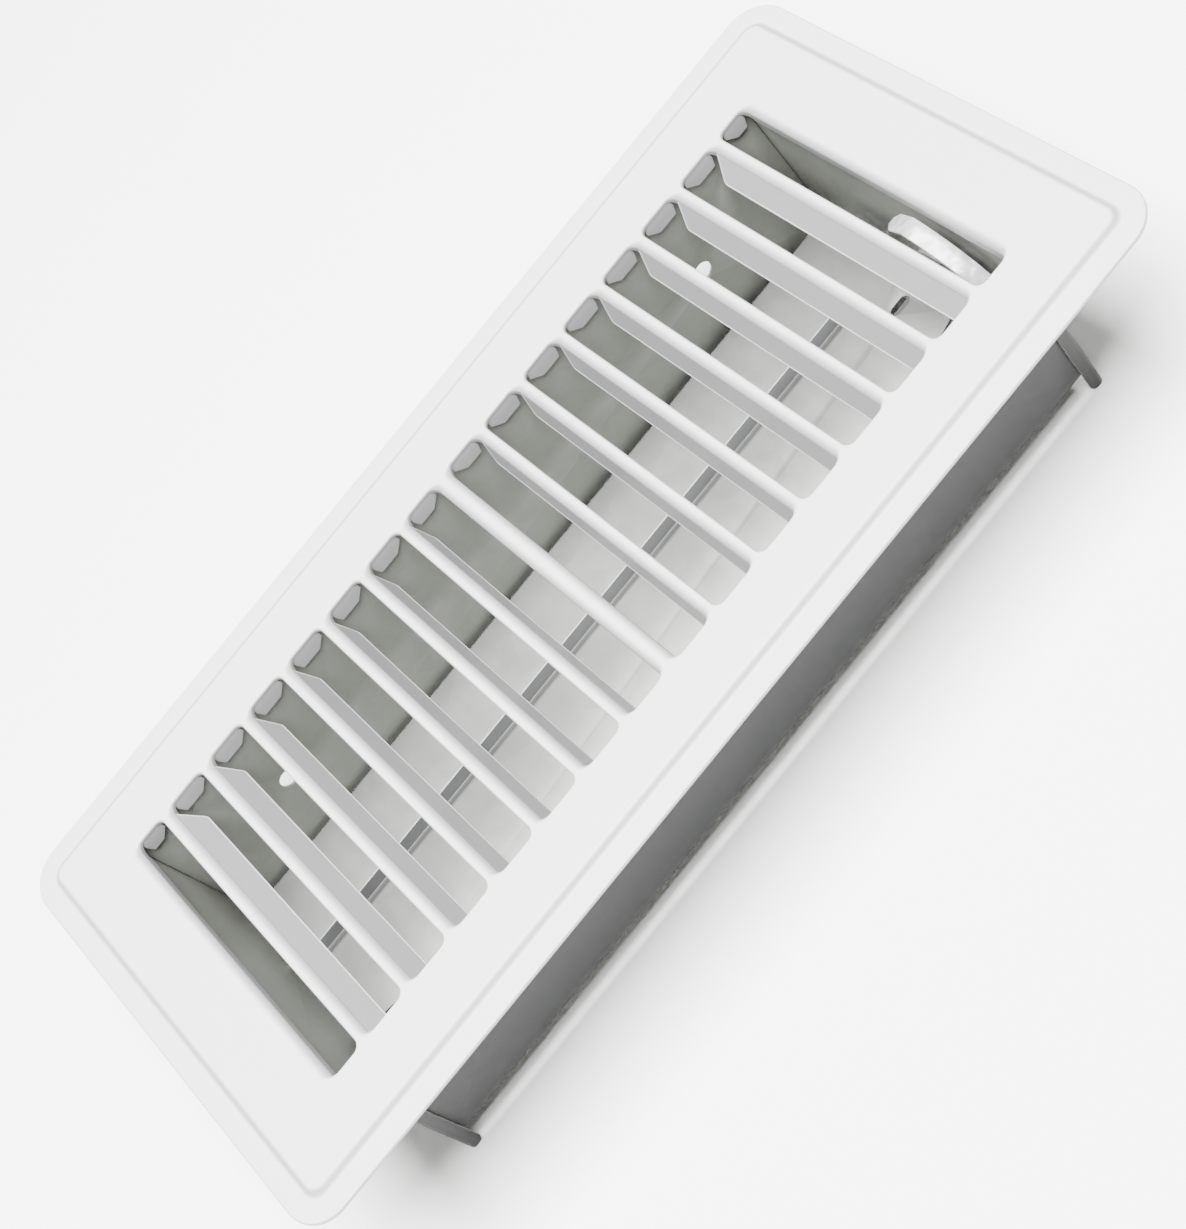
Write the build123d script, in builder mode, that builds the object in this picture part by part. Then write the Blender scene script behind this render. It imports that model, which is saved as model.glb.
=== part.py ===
from build123d import *
from math import cos, radians, sin, tan
import os

# Stamped steel floor register for a 4 x 10 in duct opening, with a two-leaf damper.
# X runs across the register, Y along it towards the lever, Z up.
# Z = 0 is the floor that the rim lies on, and the origin is the middle of the duct opening.
# All sizes are in millimetres and all angles in degrees.

# Faceplate sheet
face_sheet = 0.8
border_side = 22.0
border_end = 26.0
face_corner_radius = 10.5
rim_width = 6.0
rim_edge_chamfer = 0.4
panel_rise = 1.4
step_draft = 45.0
step_radius = 0.9

# Louvre field of the faceplate
slat_count = 15
slat_pitch = 15.34
slat_width = 3.3
middle_slat_width = 5.2
slot_length = 92.8
end_slot_width = 9.37
slot_corner_cut = 1.6
slot_edge_radius = 1.45
collar_depth = 3.0
fin_depth = 11.6
fin_end_gap = 1.8
fin_lean_middle = 9.4
fin_lean_end = 19.8
fin_corner_length = 6.0
fin_corner_rise = 2.0
lip_depth = 6.0
lip_fin_corner = 0.8
lip_open_corner = 3.6

# Duct box
box_sheet = 0.7
box_fit = 0.1
bend_radius = 1.4
side_depth = 48.5
end_depth = 56.5
weld_flange = 8.0
corner_relief = 2.1
corner_relief_length = 6.0
corner_gap = 0.2
lap_flange = 4.0
lap_tip_radius = 2.4
side_corner_chamfer = 2.5
fixing_hole_radius = 2.8
fixing_hole_spacing = 168.0
fixing_hole_depth = 26.0

# Damper leaves
leaf_sheet = 0.6
leaf_gap = 1.4
leaf_lap = 15.0
leaf_lap_gap = 0.2
leaf_recess = 0.1
bead_width = 6.0
bead_depth = 2.2
bead_draft = 45.0
bead_offset = 4.0
bead_end_gap = 10.0
pivot_rise = 4.0
pivot_offset = 1.25
ear_radius = 4.5
ear_foot = 11.0
crank = 15.0
crank_ear_radius = 4.0
plain_end_gap = 0.8
hang_slot_length = 6.0
hang_slot_width = 3.0
hang_slot_inset = 6.0
hang_slot_offset = 13.5

# Pins, lever and tie bar
running_clearance = 0.05
side_play = 0.4
head_play = 0.1
shoulder_play = 0.2
leaf_pin_radius = 2.0
leaf_pin_shoulder = 2.8
pin_head = 0.8
pin_head_rim = 1.2
pin_tail = 0.8
lever_sheet = 1.0
lever_pivot_x = 8.0
lever_wall_gap = 2.3
lever_hub_radius = 5.0
lever_rivet_radius = 2.5
lever_rivet_head_rim = 1.0
lever_spacer_radius = 5.0
rim_below_floor = 2.5
thumb_rim_width = 5.0
thumb_rim_start = 9.0
thumb_rim_end = 52.0
thumb_tip_length = 8.0
thumb_tip_drop = 24.0
thumb_tip_chamfer = 1.5
web_start = 12.0
web_end = 44.0
tie_boss_radius = 5.0
tie_sheet = 1.0
tie_width = 6.0
tie_pin_radius = 1.6

# Heights
panel_top = face_sheet + panel_rise
panel_under = panel_top - face_sheet
roll_bottom = panel_top - slot_edge_radius
collar_bottom = panel_top - collar_depth
fin_bottom = panel_top - fin_depth
lip_bottom = panel_top - lip_depth
relief_top = panel_under - corner_relief
leaf_tops = {"right": leaf_recess + leaf_sheet - side_depth}
leaf_tops["left"] = leaf_tops["right"] + leaf_sheet + leaf_lap_gap
pivot_z = leaf_tops["left"] + pivot_rise
crank_z = pivot_z + crank
thumb_radius = -rim_below_floor - pivot_z

# Plan sizes, worked outwards from the slots
slat_half = (slat_count - 1) // 2
field_half = slat_half * slat_pitch + slat_width / 2 + end_slot_width
wall_offset = face_sheet + box_fit + box_sheet
box_width = slot_length + 2 * wall_offset
box_length = 2 * (field_half + wall_offset)
face_width = box_width + 2 * border_side
face_length = box_length + 2 * border_end
inner_half_width = box_width / 2 - box_sheet
inner_half_length = box_length / 2 - box_sheet
side_half = inner_half_length - (bend_radius - box_sheet) - corner_gap

# Damper plan, with the lever at the +Y end
leaf_width = (2 * inner_half_width - 2 * leaf_gap + leaf_lap) / 2
leaf_middles = {
    "left": -inner_half_width + leaf_gap + leaf_width / 2,
    "right": inner_half_width - leaf_gap - leaf_width / 2,
}
leaf_pivots = {side: middle - pivot_offset for side, middle in leaf_middles.items()}
lever_back = inner_half_length - lever_wall_gap
lever_front = lever_back - lever_sheet
tie_back = lever_front - side_play
tie_front = tie_back - tie_sheet
ear_back = tie_front - side_play
ear_front = ear_back - leaf_sheet
plain_ear_back = inner_half_length - plain_end_gap
plain_ear_front = plain_ear_back - leaf_sheet
leaf_length = ear_back + plain_ear_back

os.makedirs("parts", exist_ok=True)


def upright(y):
    """Plane across the register at y, with its own x along X and its own y up Z."""
    return Plane(origin=(0, y, 0), x_dir=(1, 0, 0), z_dir=(0, -1, 0))


def lengthwise(x):
    """Plane along the register at x, with its own x along Y and its own y up Z."""
    return Plane(origin=(x, 0, 0), x_dir=(0, 1, 0), z_dir=(1, 0, 0))


def polar(angle, radius):
    """Point on the lever, measured from the lever pivot and from upright towards +X."""
    turn = radians(angle)
    return (lever_pivot_x + radius * sin(turn), pivot_z + radius * cos(turn))


def fin_lean(step):
    """Lean of a fin, which grows from the middle of the field to its ends."""
    share = (abs(step) - 1) / max(slat_half - 1, 1)
    return fin_lean_middle + (fin_lean_end - fin_lean_middle) * share**2


def slots():
    """Middle in Y and width of each slot, from the plain end to the lever end."""
    found = []
    start = -field_half
    for step in range(-slat_half, slat_half + 1):
        half = (slat_width if step else middle_slat_width) / 2
        end = step * slat_pitch - half
        found.append(((start + end) / 2, end - start))
        start = step * slat_pitch + half
    found.append(((start + field_half) / 2, field_half - start))
    return found


def slot_outline(y, width):
    """Corners of a slot in plan, a rectangle with its corners cut off."""
    end_x = slot_length / 2
    side_y = width / 2
    corners = []
    for x_sign, y_sign in ((1, 1), (-1, 1), (-1, -1), (1, -1)):
        pair = [
            (x_sign * end_x, y + y_sign * (side_y - slot_corner_cut)),
            (x_sign * (end_x - slot_corner_cut), y + y_sign * side_y),
        ]
        corners += pair if x_sign == y_sign else reversed(pair)
    return corners


def stepped(z, steps):
    """Half section of a round pin along Y at height z, each step given as radius, start and end."""
    points = [(steps[0][1], z)]
    for radius, start, end in steps:
        points += [(start, z + radius), (end, z + radius)]
    return points + [(steps[-1][2], z)]


# Faceplate: rim, raised panel and a recess below that leaves one sheet thickness
with BuildPart() as faceplate:
    with BuildSketch(Plane.XY):
        RectangleRounded(face_width, face_length, face_corner_radius)
    extrude(amount=face_sheet)
    chamfer(faceplate.faces().sort_by(Axis.Z)[-1].edges(), rim_edge_chamfer)
    inset = rim_width
    with BuildSketch(Plane.XY.offset(face_sheet)):
        RectangleRounded(face_width - 2 * inset, face_length - 2 * inset, face_corner_radius - inset)
    extrude(amount=panel_rise, taper=step_draft)
    fillet(faceplate.faces().sort_by(Axis.Z)[-1].edges(), step_radius)
    inset = rim_width + face_sheet * tan(radians(45 - step_draft / 2))
    with BuildSketch(Plane.XY):
        RectangleRounded(face_width - 2 * inset, face_length - 2 * inset, face_corner_radius - inset)
    extrude(amount=panel_rise, taper=step_draft, mode=Mode.SUBTRACT)

    # Each slot is drawn down into a collar, then its upper edge is rolled round
    with BuildSketch(Plane.XY.offset(collar_bottom)):
        for y, width in slots():
            with Locations((0, y)):
                Rectangle(slot_length + 2 * face_sheet, width + 2 * face_sheet)
    extrude(amount=collar_depth - face_sheet)
    with BuildSketch(Plane.XY.offset(panel_top)):
        for y, width in slots():
            with BuildLine():
                Polyline(*slot_outline(y, width), close=True)
            make_face()
    extrude(amount=-collar_depth, mode=Mode.SUBTRACT)
    fillet(faceplate.faces().sort_by(Axis.Z)[-1].inner_wires().edges(), slot_edge_radius)

    # Fins: the side of each slat that faces the middle is folded on down and leans inwards
    fin_half = slot_length / 2 - fin_end_gap
    with BuildSketch(lengthwise(-fin_half)):
        for step in range(-slat_half, slat_half + 1):
            if step == 0:
                continue
            inward = -1 if step > 0 else 1
            face_y = step * slat_pitch + inward * slat_width / 2
            back_y = face_y - inward * face_sheet
            shift = inward * (roll_bottom - fin_bottom) * tan(radians(fin_lean(step)))
            with BuildLine():
                Polyline(
                    (back_y, roll_bottom),
                    (face_y, roll_bottom),
                    (face_y + shift, fin_bottom),
                    (back_y + shift, fin_bottom),
                    close=True,
                )
            make_face()
    extrude(amount=2 * fin_half)
    with BuildSketch(upright(field_half)):
        for sign in (-1, 1):
            with BuildLine():
                Polyline(
                    (sign * fin_half, fin_bottom),
                    (sign * (fin_half - fin_corner_length), fin_bottom),
                    (sign * fin_half, fin_bottom + fin_corner_rise),
                    close=True,
                )
            make_face()
    extrude(amount=2 * field_half, mode=Mode.SUBTRACT)

    # Lips: the slot's ends are folded on down, with the lower corner away from the fin cut off further
    for x in (-slot_length / 2 - face_sheet, slot_length / 2):
        with BuildSketch(lengthwise(x)):
            for y, width in slots():
                lip_half = width / 2 - slot_corner_cut
                outward = 1 if y > 0 else -1
                with BuildLine():
                    Polyline(
                        (y - outward * lip_half, collar_bottom),
                        (y - outward * (lip_half - lip_open_corner), lip_bottom),
                        (y + outward * (lip_half - lip_fin_corner), lip_bottom),
                        (y + outward * lip_half, collar_bottom),
                        close=True,
                    )
                make_face()
        extrude(amount=face_sheet)
faceplate.part.label = "faceplate"
export_step(faceplate.part, "parts/faceplate.step")

# Side walls: a flange welded under the panel, and the wall folded down from it
for side, sign in (("left", -1), ("right", 1)):
    with BuildPart() as side_wall:
        with BuildSketch(upright(side_half)):
            with BuildLine():
                FilletPolyline(
                    (sign * (box_width / 2 + weld_flange), panel_under),
                    (sign * inner_half_width, panel_under),
                    (sign * inner_half_width, -side_depth),
                    radius=bend_radius,
                )
                offset(amount=box_sheet, side=Side.LEFT if sign > 0 else Side.RIGHT)
            make_face()
        extrude(amount=2 * side_half)
        with BuildSketch(Plane.XY.offset(relief_top)):
            with Locations((sign * box_width / 2, side_half), (sign * box_width / 2, -side_half)):
                Rectangle(4 * weld_flange, 2 * corner_relief_length)
        extrude(amount=corner_relief, mode=Mode.SUBTRACT)
        with BuildSketch(lengthwise(sign * inner_half_width)):
            with Locations((0, -fixing_hole_depth)):
                with GridLocations(fixing_hole_spacing, 0, 2, 1):
                    Circle(fixing_hole_radius)
        extrude(amount=2 * box_sheet, both=True, mode=Mode.SUBTRACT)
        chamfer(side_wall.edges().filter_by(Axis.X).group_by(Axis.Z)[0], side_corner_chamfer)
    side_wall.part.label = f"side_wall_{side}"
    export_step(side_wall.part, f"parts/side_wall_{side}.step")

# End walls: deeper than the side walls, with flanges that lap outside them at the corners
for end, sign in (("plain", -1), ("lever", 1)):
    with BuildPart() as end_wall:
        lap_x = box_width / 2 + box_sheet
        wall_y = sign * box_length / 2
        lap_y = sign * (box_length / 2 - lap_flange)
        with BuildSketch(Plane.XY.offset(-end_depth)):
            with BuildLine():
                corners = ((-lap_x, lap_y), (-lap_x, wall_y), (lap_x, wall_y), (lap_x, lap_y))
                FilletPolyline(*corners, radius=bend_radius)
                offset(amount=box_sheet, side=Side.RIGHT if sign > 0 else Side.LEFT)
            make_face()
        extrude(amount=end_depth + relief_top)
        tips = end_wall.edges().filter_by(Axis.X).group_by(Axis.Z)[0].group_by(SortBy.LENGTH)[0]
        fillet(tips, lap_tip_radius)

        flange_half = inner_half_width - corner_relief_length
        with BuildSketch(lengthwise(-flange_half)):
            with BuildLine():
                FilletPolyline(
                    (wall_y + sign * weld_flange, panel_under),
                    (sign * inner_half_length, panel_under),
                    (sign * inner_half_length, relief_top),
                    radius=bend_radius,
                )
                offset(amount=box_sheet, side=Side.LEFT if sign > 0 else Side.RIGHT)
            make_face()
        extrude(amount=2 * flange_half)

        with BuildSketch(upright(wall_y)):
            for x in leaf_pivots.values():
                with Locations((x, pivot_z)):
                    Circle(leaf_pin_radius + running_clearance)
            if end == "lever":
                with Locations((lever_pivot_x, pivot_z)):
                    Circle(lever_rivet_radius)
        extrude(amount=2 * box_sheet, both=True, mode=Mode.SUBTRACT)
    end_wall.part.label = f"end_wall_{end}"
    export_step(end_wall.part, f"parts/end_wall_{end}.step")

# Damper leaves: flat sheets with a pressed bead and an ear at each end, the left one lapped over the right
for side, pivot_x in leaf_pivots.items():
    with BuildPart() as leaf:
        leaf_top = leaf_tops[side]
        leaf_y = (ear_back - plain_ear_back) / 2
        with BuildSketch(Plane.XY.offset(leaf_top)):
            with Locations((leaf_middles[side], leaf_y)):
                Rectangle(leaf_width, leaf_length)
        extrude(amount=-leaf_sheet)

        bead_x = leaf_middles[side] + bead_offset
        bead_length = leaf_length - 2 * bead_end_gap
        bead_wall = leaf_sheet * tan(radians(45 - bead_draft / 2))
        with BuildSketch(Plane.XY.offset(leaf_top - leaf_sheet)):
            with Locations((bead_x, leaf_y)):
                Rectangle(bead_width + 2 * bead_wall, bead_length + 2 * bead_wall)
        extrude(amount=-bead_depth, taper=bead_draft)
        with BuildSketch(Plane.XY.offset(leaf_top)):
            with Locations((bead_x, leaf_y)):
                Rectangle(bead_width, bead_length)
        extrude(amount=-bead_depth, taper=bead_draft, mode=Mode.SUBTRACT)

        with BuildSketch(upright(ear_back)):
            with Locations((pivot_x, pivot_z)):
                Circle(ear_radius)
            with Locations((pivot_x, crank_z)):
                Circle(crank_ear_radius)
            with Locations((pivot_x, leaf_top)):
                Rectangle(ear_foot, leaf_sheet, align=(Align.CENTER, Align.MAX))
            make_hull()
            with Locations((pivot_x, pivot_z)):
                Circle(leaf_pin_shoulder, mode=Mode.SUBTRACT)
            with Locations((pivot_x, crank_z)):
                Circle(tie_pin_radius + running_clearance, mode=Mode.SUBTRACT)
        extrude(amount=leaf_sheet)
        with BuildSketch(upright(-plain_ear_front)):
            with Locations((pivot_x, pivot_z)):
                Circle(ear_radius)
            with Locations((pivot_x, leaf_top)):
                Rectangle(ear_foot, leaf_sheet, align=(Align.CENTER, Align.MAX))
            make_hull()
            with Locations((pivot_x, pivot_z)):
                Circle(leaf_pin_shoulder, mode=Mode.SUBTRACT)
        extrude(amount=leaf_sheet)

        with BuildSketch(Plane.XY.offset(leaf_top)):
            with Locations((pivot_x + hang_slot_offset, ear_front - hang_slot_inset)):
                SlotOverall(hang_slot_length, hang_slot_width, rotation=90)
        extrude(amount=-leaf_sheet, mode=Mode.SUBTRACT)
    leaf.part.label = f"leaf_{side}"
    export_step(leaf.part, f"parts/leaf_{side}.step")

# Leaf pins: fixed in the ears, with a thinner neck that turns in the end wall
leaf_ends = {"plain": (-1, plain_ear_front), "lever": (1, ear_front)}
for side, pivot_x in leaf_pivots.items():
    for end, (sign, front) in leaf_ends.items():
        with BuildPart() as leaf_pin:
            shoulder_end = inner_half_length - shoulder_play
            steps = (
                (leaf_pin_shoulder, sign * (front - pin_head), sign * shoulder_end),
                (leaf_pin_radius, sign * shoulder_end, sign * (box_length / 2 + pin_tail)),
            )
            with BuildSketch(lengthwise(pivot_x)):
                with BuildLine():
                    Polyline(*stepped(pivot_z, steps), close=True)
                make_face()
            revolve(axis=Axis((pivot_x, 0, pivot_z), (0, 1, 0)))
        leaf_pin.part.label = f"leaf_pin_{side}_{end}"
        export_step(leaf_pin.part, f"parts/leaf_pin_{side}_{end}.step")

# Lever: a curved thumb rim with a tip bent down, folded from a web that turns on the rivet
with BuildPart() as lever:
    inner_radius = thumb_radius - lever_sheet
    rim_middle = (thumb_rim_start + thumb_rim_end) / 2
    tip_x = -thumb_tip_length * cos(radians(thumb_tip_drop))
    tip_z = -thumb_tip_length * sin(radians(thumb_tip_drop))
    outer_start = polar(thumb_rim_start, thumb_radius)
    inner_start = polar(thumb_rim_start, inner_radius)
    outer_end = polar(thumb_rim_end, thumb_radius)
    inner_end = polar(thumb_rim_end, inner_radius)
    outer_tip = (outer_start[0] + tip_x, outer_start[1] + tip_z)
    inner_tip = (inner_start[0] + tip_x, inner_start[1] + tip_z)
    with BuildSketch(upright(lever_back)):
        with BuildLine():
            Polyline(outer_start, outer_tip, inner_tip, inner_start)
            ThreePointArc(inner_start, polar(rim_middle, inner_radius), inner_end)
            Line(inner_end, outer_end)
            ThreePointArc(outer_end, polar(rim_middle, thumb_radius), outer_start)
        make_face()
    extrude(amount=thumb_rim_width)
    tip_edges = lever.faces().sort_by(Axis.X)[0].edges().group_by(SortBy.LENGTH)[0]
    end_edges = lever.faces().sort_by(Axis.X)[-1].edges().group_by(SortBy.LENGTH)[0]
    chamfer(tip_edges + end_edges, thumb_tip_chamfer)

    with BuildSketch(upright(lever_back)):
        with Locations((lever_pivot_x, pivot_z)):
            Circle(lever_hub_radius)
        with Locations((lever_pivot_x, crank_z)):
            Circle(tie_boss_radius)
        make_hull()
        with BuildLine():
            web_corners = [polar(angle, inner_radius) for angle in (web_start, web_end)]
            Polyline(web_corners[1], polar(0, 0), web_corners[0])
            ThreePointArc(web_corners[0], polar((web_start + web_end) / 2, inner_radius), web_corners[1])
        make_face()
        with Locations((lever_pivot_x, pivot_z)):
            Circle(lever_rivet_radius + running_clearance, mode=Mode.SUBTRACT)
        with Locations((lever_pivot_x, crank_z)):
            Circle(tie_pin_radius + running_clearance, mode=Mode.SUBTRACT)
    extrude(amount=lever_sheet)
lever.part.label = "lever"
export_step(lever.part, "parts/lever.step")

# Lever rivet: fixed in the end wall, with a head in front of the lever and one outside the wall
with BuildPart() as lever_rivet:
    head_back = lever_front - head_play
    steps = (
        (lever_rivet_radius + lever_rivet_head_rim, head_back - pin_head, head_back),
        (lever_rivet_radius, head_back, box_length / 2),
        (lever_rivet_radius + pin_head_rim, box_length / 2, box_length / 2 + pin_head),
    )
    with BuildSketch(lengthwise(lever_pivot_x)):
        with BuildLine():
            Polyline(*stepped(pivot_z, steps), close=True)
        make_face()
    revolve(axis=Axis((lever_pivot_x, 0, pivot_z), (0, 1, 0)))
lever_rivet.part.label = "lever_rivet"
export_step(lever_rivet.part, "parts/lever_rivet.step")

# Lever spacer: a ring on the rivet between the end wall and the lever
with BuildPart() as lever_spacer:
    with BuildSketch(upright(inner_half_length)):
        with Locations((lever_pivot_x, pivot_z)):
            Circle(lever_spacer_radius)
            Circle(lever_rivet_radius, mode=Mode.SUBTRACT)
    extrude(amount=lever_wall_gap - shoulder_play)
lever_spacer.part.label = "lever_spacer"
export_step(lever_spacer.part, "parts/lever_spacer.step")

# Tie bar: joins the cranks of both leaves and of the lever, so that all three turn alike
tie_pins = {"left": leaf_pivots["left"], "lever": lever_pivot_x, "right": leaf_pivots["right"]}
with BuildPart() as tie_bar:
    with BuildSketch(upright(tie_back)):
        with Locations(((tie_pins["left"] + tie_pins["right"]) / 2, crank_z)):
            SlotCenterToCenter(tie_pins["right"] - tie_pins["left"], tie_width)
        for x in tie_pins.values():
            with Locations((x, crank_z)):
                Circle(tie_pin_radius, mode=Mode.SUBTRACT)
    extrude(amount=tie_sheet)
tie_bar.part.label = "tie_bar"
export_step(tie_bar.part, "parts/tie_bar.step")

# Tie pins: fixed in the tie bar, each with a head beyond the ear or web that it turns in
for pin, x in tie_pins.items():
    with BuildPart() as tie_pin:
        head_radius = tie_pin_radius + pin_head_rim
        if pin == "lever":
            head_start = lever_back + head_play
            steps = (
                (tie_pin_radius, tie_front, head_start),
                (head_radius, head_start, head_start + pin_head),
            )
        else:
            head_end = ear_front - head_play
            steps = (
                (head_radius, head_end - pin_head, head_end),
                (tie_pin_radius, head_end, tie_back),
            )
        with BuildSketch(lengthwise(x)):
            with BuildLine():
                Polyline(*stepped(crank_z, steps), close=True)
            make_face()
        revolve(axis=Axis((x, 0, crank_z), (0, 1, 0)))
    tie_pin.part.label = f"tie_pin_{pin}"
    export_step(tie_pin.part, f"parts/tie_pin_{pin}.step")
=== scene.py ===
# %% [markdown]
# # A stamped floor register
#
# This lesson dresses the CAD model of a floor register for a picture. The register is one white steel face
# with slots, a shallow duct box below it, and a two-leaf damper that a thumb lever turns. The CAD model
# fixes every place and size, so the first step loads it and keeps its box, whose lowest point sets the
# floor. Lengths in Blender are in metres, so one value turns millimetres into metres for the whole script.

# %% Load the CAD frame
from math import cos, radians, sin, tan

import bmesh
import bpy
from mathutils import Matrix, Vector


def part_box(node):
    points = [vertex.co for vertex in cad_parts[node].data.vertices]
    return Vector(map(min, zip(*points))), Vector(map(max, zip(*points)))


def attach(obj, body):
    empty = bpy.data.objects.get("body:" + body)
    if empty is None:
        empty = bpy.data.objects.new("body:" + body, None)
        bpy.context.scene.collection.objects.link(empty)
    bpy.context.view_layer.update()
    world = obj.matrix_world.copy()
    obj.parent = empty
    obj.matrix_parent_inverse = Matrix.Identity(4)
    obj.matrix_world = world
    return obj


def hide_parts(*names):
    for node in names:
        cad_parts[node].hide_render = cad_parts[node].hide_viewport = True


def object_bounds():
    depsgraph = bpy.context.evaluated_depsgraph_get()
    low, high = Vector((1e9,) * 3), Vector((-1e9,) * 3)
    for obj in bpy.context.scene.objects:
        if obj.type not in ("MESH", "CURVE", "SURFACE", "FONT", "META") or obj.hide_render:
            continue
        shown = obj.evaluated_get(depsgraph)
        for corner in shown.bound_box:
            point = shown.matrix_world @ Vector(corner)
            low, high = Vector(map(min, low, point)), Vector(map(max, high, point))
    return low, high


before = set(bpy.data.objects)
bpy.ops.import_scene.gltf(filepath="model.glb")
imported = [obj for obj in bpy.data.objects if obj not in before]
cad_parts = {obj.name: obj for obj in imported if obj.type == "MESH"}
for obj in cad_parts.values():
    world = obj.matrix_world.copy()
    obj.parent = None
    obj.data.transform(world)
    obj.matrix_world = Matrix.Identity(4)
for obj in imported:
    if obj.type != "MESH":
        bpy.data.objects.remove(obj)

cad_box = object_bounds()
mm = 0.001
print("CAD nodes:", len(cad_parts))

# %% [markdown]
# ## One way to add a node
#
# Geometry and materials are both made from nodes, and a long script of nodes is hard to read. One small
# function adds a node, sets its options and feeds its inputs: a plain value becomes the input's default, a
# socket of another node becomes a link, and a whole node stands for its first output. Colours are written
# as sRGB hex values, because that is what a colour picker shows, and a second function turns them into the
# linear light that Blender works with. A third one gives a colour ramp its stops.

# %% Node and colour helpers
def node(tree, kind, inputs=None, **settings):
    """Add a node, set its options, and feed its inputs with values, sockets or other nodes."""
    made = tree.nodes.new(kind)
    for name, value in settings.items():
        setattr(made, name, value)
    for key, value in (inputs or {}).items():
        if isinstance(value, bpy.types.Node):
            value = value.outputs[0]
        if isinstance(value, bpy.types.NodeSocket):
            tree.links.new(value, made.inputs[key])
        else:
            made.inputs[key].default_value = value
    return made


def colour(code):
    """Linear colour of an sRGB hex code, by the sRGB standard's own curve."""
    shares = [int(code[at:at + 2], 16) / 255 for at in (1, 3, 5)]
    return [s / 12.92 if s <= 0.04045 else ((s + 0.055) / 1.055) ** 2.4 for s in shares] + [1.0]


def set_stops(ramp, stops):
    """Give a colour ramp its stops in order, each a position from 0 to 1 and a hex code."""
    elements = ramp.color_ramp.elements
    while len(elements) < len(stops):
        elements.new(0.5)
    for element, (position, code) in zip(elements, stops):
        element.position = position
        element.color = colour(code)


print("mid grey in linear light:", round(colour("#808080")[0], 3))

# %% [markdown]
# ## Starting and ending a material
#
# Each finish of the register is one material with one shader. A helper opens the material and hands out
# Object coordinates, so that a pattern has its real size on every piece. Another closes the material with a
# Principled shader. What is the same all over a surface is a plain number on the shader's own socket, and
# only what varies is a link.

# %% Material helpers
def start_material(name):
    """A new material, its empty node tree and its Object coordinates."""
    made = bpy.data.materials.new(name)
    made.use_nodes = True
    tree = made.node_tree
    tree.nodes.clear()
    place = node(tree, "ShaderNodeTexCoord").outputs["Object"]
    return made, tree, place


def end_material(tree, sockets):
    """Close a material with one shader that has the given values and links."""
    shader = node(tree, "ShaderNodeBsdfPrincipled", sockets)
    node(tree, "ShaderNodeOutputMaterial", {"Surface": shader})


print("material helpers ready")

# %% [markdown]
# ## White enamel
#
# The face is sprayed with white enamel and baked. Its rolled edges and fins are steep and get less light,
# and that shade is painted into the enamel's colour. The pieces below keep an attribute with the share of
# painted light, which is 1 on level metal and 0 on upright metal, and the enamel reads a darker tone from
# it where the metal is steep. A Mix node has its colours at inputs 6 and 7 and its mixed colour at output
# 2.
# For plain numbers, it has them at inputs 2 and 3 and output 0.

# %% Painted shade on steep metal
def shade_when_steep(tree, full, slope_shades):
    """Nodes that paint shade on a full colour: the lower the share of painted light, the darker its tone.
    """
    coat = node(tree, "ShaderNodeAttribute", attribute_name="coat")
    shade_ramp = node(tree, "ShaderNodeValToRGB", {"Fac": coat.outputs["Fac"]})
    set_stops(shade_ramp, slope_shades)
    slope_shaded = node(tree, "ShaderNodeMix", {0: 1.0, 6: full, 7: shade_ramp.outputs["Color"]},
                data_type="RGBA", blend_type="MULTIPLY")
    return slope_shaded.outputs[2]


# Painted shade by slope: the tone multiplied into the enamel for each share of painted light, from upright
# metal at 0 to level metal at 1.
face_slope_shades = [
    (0.0, "#B0B0B1"), (0.16, "#B8B8BA"), (0.34, "#CFCFD1"), (0.6, "#C4C4C6"), (0.8, "#C9C9CA"),
    (0.93, "#E1E1E1"), (1.0, "#FFFFFF"),
]
# The count printed below is of the tones of painted shade.
print("thicknesses of coat with a tone of their own:", len(face_slope_shades))

# %% [markdown]
# Baked enamel is smooth and semi-gloss, and a close look shows a faint orange peel: soft dimples a few
# millimetres apart. The colour could be painted on a texture, but the finish is the same all over, so a
# noise on Object coordinates gives the peel its real spacing on every piece. The lever was bent by hand
# tools before it was sprayed, so its waves are wider and deeper, and a clear coat gives it sharper glints.

# %% Enamel finish
enamel_ior = 1.5
clear_coat_roughness = 0.1


def baked_enamel(name, light, shaded, roughness, peel_spacing, peel_depth, slope_shades=None, clear_coat=0.0):
    """Sprayed and baked enamel: nearly one colour, with soft dimples of the given spacing and depth."""
    made, tree, place = start_material(name)
    peel = node(tree, "ShaderNodeTexNoise", {"Vector": place, "Scale": 1 / peel_spacing, "Detail": 1.0})
    tone = node(tree, "ShaderNodeValToRGB", {"Fac": peel.outputs["Fac"]})
    set_stops(tone, [(0.0, shaded), (1.0, light)])
    full = tone.outputs["Color"]
    bump = node(tree, "ShaderNodeBump", {"Distance": peel_depth, "Height": peel.outputs["Fac"]})
    # Where slope shades are given, painted shade darkens the steep metal.
    end_material(tree, {
        "Base Color": shade_when_steep(tree, full, slope_shades) if slope_shades else full,
        "Normal": bump.outputs["Normal"],
        "Roughness": roughness,
        "IOR": enamel_ior,
        "Coat Weight": clear_coat,
        "Coat Roughness": clear_coat_roughness,
    })
    return made


face_enamel = baked_enamel(
    "white_baked_enamel", light="#CBCBCA", shaded="#C8C8C7", roughness=0.38,
    peel_spacing=3 * mm, peel_depth=0.002 * mm, slope_shades=face_slope_shades)
lever_enamel = baked_enamel(
    "satin_lever_enamel", light="#9E9E9E", shaded="#888889", roughness=0.25,
    peel_spacing=4.5 * mm, peel_depth=1.6 * mm, clear_coat=1.0)
print("enamels:", face_enamel.name, lever_enamel.name)
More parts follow.
